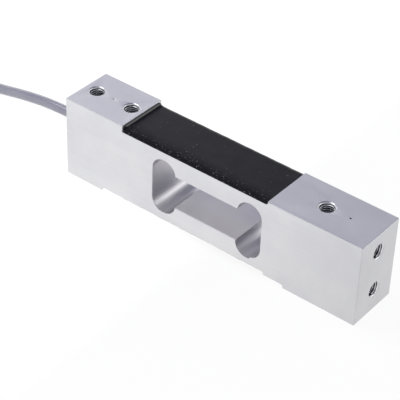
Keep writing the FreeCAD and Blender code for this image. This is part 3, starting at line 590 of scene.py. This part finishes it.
def roundedLoop(low, high, bottom, top, corner, steps=6):
    # A rectangle with round corners, as pairs of across and up.
    centres = [(high - corner, bottom + corner, -90), (high - corner, top - corner, 0),
               (low + corner, top - corner, 90), (low + corner, bottom + corner, 180)]
    loop = []
    for across, up, start in centres:
        for step in range(steps + 1):
            angle = math.radians(start + 90 * step / steps)
            loop.append((across + corner * math.cos(angle), up + corner * math.sin(angle)))
    return loop


def sweptFaces(work, rings, closed):
    # Faces from ring to ring: back to the first one if closed, and else capped at both ends.
    count = len(rings[0])
    pairs = list(zip(rings, rings[1:])) + ([(rings[-1], rings[0])] if closed else [])
    for first, second in pairs:
        for number in range(count):
            following = (number + 1) % count
            work.faces.new((first[number], second[number], second[following], first[following]))
    if not closed:
        work.faces.new(rings[0])
        work.faces.new(rings[-1][::-1])


def makeTies(plan):
    work = bmesh.new()
    half, grow = plan["width"] / 2, plan["thickness"]
    inside = roundedLoop(plan["inner"], plan["outer"], plan["bottom"], plan["top"], plan["corner"])
    outside = roundedLoop(plan["inner"] - grow, plan["outer"] + grow, plan["bottom"] - grow,
                          plan["top"] + grow, plan["corner"] + grow)
    steps = plan["twistTurns"] * plan["twistSteps"]
    for side in range(2):
        band = [[work.verts.new((along, across, up)) for across, up in loop]
                for loop, along in ((inside, -half), (outside, -half), (outside, half), (inside, half))]
        sweptFaces(work, band, True)
        twist = []
        for step in range(steps + 1):
            angle = 2 * math.pi * plan["twistTurns"] * step / steps
            middle = Vector((plan["twistLength"] * step / steps, (plan["inner"] + plan["outer"]) / 2,
                             plan["top"] + plan["twistRise"]))
            across = Vector((0, math.cos(angle), math.sin(angle))) * plan["twistHalf"]
            over = Vector((0, -math.sin(angle), math.cos(angle))) * grow
            twist.append([work.verts.new(middle + across * one + over * two)
                          for one, two in ((1, 1), (-1, 1), (-1, -1), (1, -1))])
        sweptFaces(work, twist, False)
        bmesh.ops.rotate(work, verts=work.verts, cent=(0, 0, 0), matrix=Matrix.Rotation(math.pi, 3, "Z"))
    work.transform(Matrix.Scale(mm, 4) @ Matrix.Translation((*cablePlan["centre"], 0)))
    bmesh.ops.recalc_face_normals(work, faces=work.faces)
    mesh = bpy.data.meshes.new("coil_ties")
    work.to_mesh(mesh)
    work.free()
    return newPiece("coil_ties", mesh, "tieStrap")


ties = makeTies(tiePlan)
print("cable coiled and tied")


# Beam: the milled block with softened edges; window and hole walls have finishes of their own, and the window
# walls and the bores are darkened with painted shade.
beamPlan = {
    "edge": 0.1,
    "edgeSegments": 2,
    "edgeAngle": 60,
    "sharpAngle": 30,
    "weld": 0.001,
    "finishes": ["beamAluminium", "shadedWindowAluminium", "sinkAluminium", "shadedBoreAluminium"],
    "window": (-28.2, 29.2, 5.5, 34.5),
    "windowSide": 12.65,
    "topHoles": [(-68.65, 0, 40), (-49.6, 0, 40), (50, 0, 38.5)],
    "endHoles": [(75, 0, 29.525), (75, 0, 10.475)],
    # the punch mark takes the bores' painted shade
    "punch": (61, 0, 38.5),     # the dark one of the two
    "punchReach": 0.6,
    "sinkRadius": 3.85,
    "boreRadius": 3.05,
    "holeDepth": 15,
    "belowFace": 0.02,
    "wallTilt": 0.5,            # the most of Y in the normal of a window's wall
}


def wallFinish(plan, face):
    # The number of the beam's finish that a face takes: outside, window, countersink or bore; the window and
    # the bore carry painted shade, and the punch mark takes the bore's.
    outside, window, sink, bore = range(len(plan["finishes"]))
    x, y, z = middle = face.calc_center_median() / mm
    spots = [(math.hypot(x - place[0], y), place[2] - z) for place in plan["topHoles"]]
    spots += [(math.hypot(y, z - place[2]), place[0] - x) for place in plan["endHoles"]]
    for out, down in spots:
        if out < plan["sinkRadius"] and plan["belowFace"] < down < plan["holeDepth"]:
            return sink if out > plan["boreRadius"] else bore
    away, down = (middle - Vector(plan["punch"])).length, plan["punch"][2] - z
    if away < plan["punchReach"] and down > plan["belowFace"]:
        return bore
    low, high, bottom, top = plan["window"]
    inWindow = low < x < high and bottom < z < top and abs(y) < plan["windowSide"]
    return window if inWindow and abs(face.normal.y) < plan["wallTilt"] else outside


def makeBeam(plan):
    work = bmesh.new()
    work.from_mesh(frame["nodes"]["beam_body"].data)
    bmesh.ops.remove_doubles(work, verts=work.verts, dist=plan["weld"] * mm)
    for face in work.faces:
        face.smooth = True
        face.material_index = wallFinish(plan, face)
    mesh = bpy.data.meshes.new("beam_block")
    work.to_mesh(mesh)
    work.free()
    beam = newPiece("beam_block", mesh, plan["finishes"][0], ("beam_body",))
    for finish in plan["finishes"][1:]:
        mesh.materials.append(materials[finish])
    mesh.set_sharp_from_angle(angle=math.radians(plan["sharpAngle"]))
    bevel = beam.modifiers.new("softEdges", "BEVEL")
    bevel.width = plan["edge"] * mm
    bevel.segments = plan["edgeSegments"]
    bevel.limit_method = "ANGLE"
    bevel.angle_limit = math.radians(plan["edgeAngle"])
    normals = beam.modifiers.new("evenShading", "WEIGHTED_NORMAL")
    normals.keep_sharp = True


makeBeam(beamPlan)
print("beam dressed")

# Threads: a helical ridge in each tapped hole, below its countersink.
threadPlan = {"radius": 3.0, "ridge": 0.36, "pitch": 1.0, "start": 1.1, "length": 9.0, "steps": 36}


def makeThreads(plan, holes):
    depth = plan["start"] + plan["length"]
    places = [(x, y, z - depth) for x, y, z in holes["topHoles"]]
    turns = [(0, 0, 0)] * len(places)
    places += [(x - depth, y, z) for x, y, z in holes["endHoles"]]
    turns += [(0, math.pi / 2, 0)] * len(holes["endHoles"])
    size = {"Turns": plan["length"] / plan["pitch"], "Coil Radius": plan["radius"] * mm,
            "Height": plan["length"] * mm, "Wire Radius": plan["ridge"] * mm, "Wire Sides": 4,
            "Strands": 1, "Steps": plan["steps"]}
    mesh = woundMesh("thread_ridges", places, turns, size, "sinkAluminium")
    newPiece("thread_ridges", mesh, None)


makeThreads(threadPlan, beamPlan)
print("threads cut")

# Potting: dark resin poured over the gauges, level but for its edges and the wall that it climbs.
resinPlan = {
    "left": -43.85,
    "right": 30.65,
    "fillet": 1.2,
    "edgeWidth": 2.2,
    "top": {"floor": 37.0, "thickness": 1.3, "facing": 1, "climb": 1.6, "climbLength": 2.0,
            "halfWidth": 12.68, "edgeThickness": 0.2},
    "bottom": {"floor": 3.0, "thickness": 1.3, "facing": -1, "climb": 0.0, "climbLength": 1.0,
               "halfWidth": 12.35, "edgeThickness": 0.03},
    "glossyRim": 0.8,
    "wave": 0.035,
    "waveScale": (0.16, 0.2, 3.0),      # along, across, and how far apart the two sides are in the noise
    "edgeWave": 0.35,
    "edgeWaveScale": (0.35, 7.0),
    "clearance": 0.004,
    "easing": 0.6,
    "sharpAngle": 50,
    "columns": 190,
    "rows": 64,
}


def arcFall(distance, width, fall):
    # How far a round edge of this width and fall drops at a distance from its foot.
    if fall <= 0 or distance >= width:
        return 0.0
    radius = (width ** 2 + fall ** 2) / (2 * fall)
    return radius - math.sqrt(max(radius ** 2 - (width - distance) ** 2, 0.0))


def eased(low, high, count, easing):
    # Stations from low to high, closer together at both ends.
    return [low + (high - low) * (0.5 - 0.5 * math.cos(math.pi * step / count)) * easing
            + (high - low) * step / count * (1 - easing) for step in range(count + 1)]


def resinHeight(plan, side, x, y):
    # The height of the resin over the recess floor, and that of the fillet it lies on at the far wall.
    along, apart = plan["edgeWaveScale"]
    width = plan["edgeWidth"] + noise.noise((x * along, side["facing"] * apart, 0.5)) * plan["edgeWave"]
    inward = side["halfWidth"] - abs(y)
    fall = arcFall(inward, width, side["thickness"] - side["edgeThickness"])
    middle = min(1.0, inward / plan["edgeWidth"])
    height = side["thickness"] - fall
    height += arcFall(x - plan["left"], side["climbLength"], side["climb"]) * middle ** 0.5
    along, across, apart = plan["waveScale"]
    height += noise.noise((x * along, y * across, side["facing"] * apart)) * plan["wave"] * middle
    intoFillet = max(plan["fillet"] - (plan["right"] - x), 0.0)
    rim = plan["fillet"] - math.sqrt(max(plan["fillet"] ** 2 - intoFillet ** 2, 0.0))
    return max(height, rim + plan["clearance"]), rim


def makeResin(name, plan, side, node):
    work = bmesh.new()
    low, high = plan["left"] + plan["clearance"], plan["right"] - plan["clearance"]
    alongs = eased(low, high, plan["columns"], plan["easing"])
    acrosses = eased(-side["halfWidth"], side["halfWidth"], plan["rows"], plan["easing"])
    faceUp, base = [], []
    for x in alongs:
        upRow, baseRow = [], []
        for y in acrosses:
            height, rim = resinHeight(plan, side, x, y)
            upRow.append(work.verts.new((x, y, side["floor"] + side["facing"] * height)))
            baseRow.append(work.verts.new((x, y, side["floor"] + side["facing"] * rim)))
        faceUp.append(upRow)
        base.append(baseRow)
    rows, columns = len(acrosses), len(alongs)
    for grid in (faceUp, base):
        for i in range(columns - 1):
            for j in range(rows - 1):
                work.faces.new((grid[i][j], grid[i + 1][j], grid[i + 1][j + 1], grid[i][j + 1]))
    for i in range(columns - 1):
        for j in (0, rows - 1):
            work.faces.new((faceUp[i][j], base[i][j], base[i + 1][j], faceUp[i + 1][j]))
    for j in range(rows - 1):
        for i in (0, columns - 1):
            work.faces.new((faceUp[i][j], base[i][j], base[i][j + 1], faceUp[i][j + 1]))
    work.transform(Matrix.Scale(mm, 4))
    bmesh.ops.recalc_face_normals(work, faces=work.faces)
    for face in work.faces:
        face.smooth = True
        face.material_index = int(face.calc_center_median().x / mm < plan["left"] + plan["glossyRim"])
    mesh = bpy.data.meshes.new(name)
    work.to_mesh(mesh)
    work.free()
    mesh.set_sharp_from_angle(angle=math.radians(plan["sharpAngle"]))
    newPiece(name, mesh, "pottingResin", (node,))
    mesh.materials.append(materials["meniscusResin"])


makeResin("top_resin", resinPlan, resinPlan["top"], "top_potting")
makeResin("bottom_resin", resinPlan, resinPlan["bottom"], "bottom_potting")
print("resin poured")


# Studio: a pale floor, a white backdrop all round that gives way to a dark ceiling, and three softboxes.
# Reflections see the floor brighter on the left than on the right, and the camera sees it white.
studioPlan = {
    "floorSize": 4.0,
    "floorColour": (0.9, 0.9, 0.9),
    "floorRoughness": 0.9,
    "floorWhite": 0.88,
    "floorSeen": 1.04,
    "floorLeft": (-0.02, 1.12),         # X and glow
    "floorRight": (0.07, 0.84),
    "backdrop": (1.0, 1.0, 1.0),
    "backdropEnds": (0.42, 0.6),        # the direction's Z
    "aboveEnds": (-0.6, 0.6),           # the direction's X
    "aboveLeft": (0.26, 0.265, 0.39),
    "aboveRight": (0.1, 0.1, 0.13),
    "lamps": [
        {"name": "keySoftbox", "place": (-0.75, -0.18, 1.35), "size": 0.7, "power": 7.0},
        {"name": "rimSoftbox", "place": (1.21, 1.28, 0.94), "size": 0.8, "power": 3.0},
        {"name": "sideSoftbox", "place": (-0.6, 0.45, 0.6), "size": 0.45, "power": 0.16},
    ],
}


def makeFloor(plan):
    half = plan["floorSize"] / 2
    mesh = bpy.data.meshes.new("studioFloor")
    corners = [(-half, -half, 0), (half, -half, 0), (half, half, 0), (-half, half, 0)]
    mesh.from_pydata(corners, [], [(0, 1, 2, 3)])
    material = bpy.data.materials.new("paleFloor")
    material.use_nodes = True
    tree = material.node_tree
    shader = tree.nodes["Principled BSDF"]
    shader.inputs["Base Color"].default_value = (*plan["floorColour"], 1.0)
    shader.inputs["Roughness"].default_value = plan["floorRoughness"]
    place = tree.nodes.new("ShaderNodeTexCoord").outputs["Object"]
    (left, leftGlow), (right, rightGlow) = plan["floorLeft"], plan["floorRight"]
    glow = ranged(tree, axisOf(tree, place, "X"), leftGlow, rightGlow, left, right)
    path = tree.nodes.new("ShaderNodeLightPath")
    whiteSeen = mathNode(tree, "MULTIPLY", path.outputs["Is Camera Ray"], plan["floorSeen"])
    glow = mathNode(tree, "MAXIMUM", glow, whiteSeen)
    white = tree.nodes.new("ShaderNodeEmission")
    tree.links.new(glow, white.inputs["Strength"])
    seen = mathNode(tree, "MAXIMUM", path.outputs["Is Camera Ray"], path.outputs["Is Glossy Ray"])
    seen = mathNode(tree, "MAXIMUM", seen, path.outputs["Is Transmission Ray"])
    share = mathNode(tree, "MULTIPLY", seen, plan["floorWhite"])
    mixed = tree.nodes.new("ShaderNodeMixShader")
    tree.links.new(share, mixed.inputs[0])
    tree.links.new(shader.outputs[0], mixed.inputs[1])
    tree.links.new(white.outputs[0], mixed.inputs[2])
    tree.links.new(mixed.outputs[0], tree.nodes["Material Output"].inputs["Surface"])
    mesh.materials.append(material)
    floor = bpy.data.objects.new("studioFloor", mesh)
    scene.collection.objects.link(floor)


def makeSky(plan):
    world = bpy.data.worlds.new("softSky")
    scene.world = world
    world.use_nodes = True
    tree = world.node_tree
    background = tree.nodes["Background"]
    direction = tree.nodes.new("ShaderNodeTexCoord").outputs["Generated"]
    side = ranged(tree, axisOf(tree, direction, "X"), 0.0, 1.0, *plan["aboveEnds"])
    above = mixColour(tree, side, plan["aboveLeft"], plan["aboveRight"])
    level = ranged(tree, axisOf(tree, direction, "Z"), 0.0, 1.0, *plan["backdropEnds"])
    shade = mixColour(tree, level, plan["backdrop"], above)
    path = tree.nodes.new("ShaderNodeLightPath")
    seen = mixColour(tree, path.outputs["Is Camera Ray"], shade, plan["backdrop"])
    tree.links.new(seen, background.inputs["Color"])


def makeLamps(plan):
    for lamp in plan["lamps"]:
        light = bpy.data.lights.new(lamp["name"], "AREA")
        light.size = lamp["size"]
        light.energy = lamp["power"]
        holder = bpy.data.objects.new(lamp["name"], light)
        holder.location = lamp["place"]
        holder.rotation_mode = "QUATERNION"
        holder.rotation_quaternion = Vector(lamp["place"]).to_track_quat("Z", "Y")
        scene.collection.objects.link(holder)


makeFloor(studioPlan)
makeSky(studioPlan)
makeLamps(studioPlan)
scene.view_settings.view_transform = "Standard"
print("studio lit")
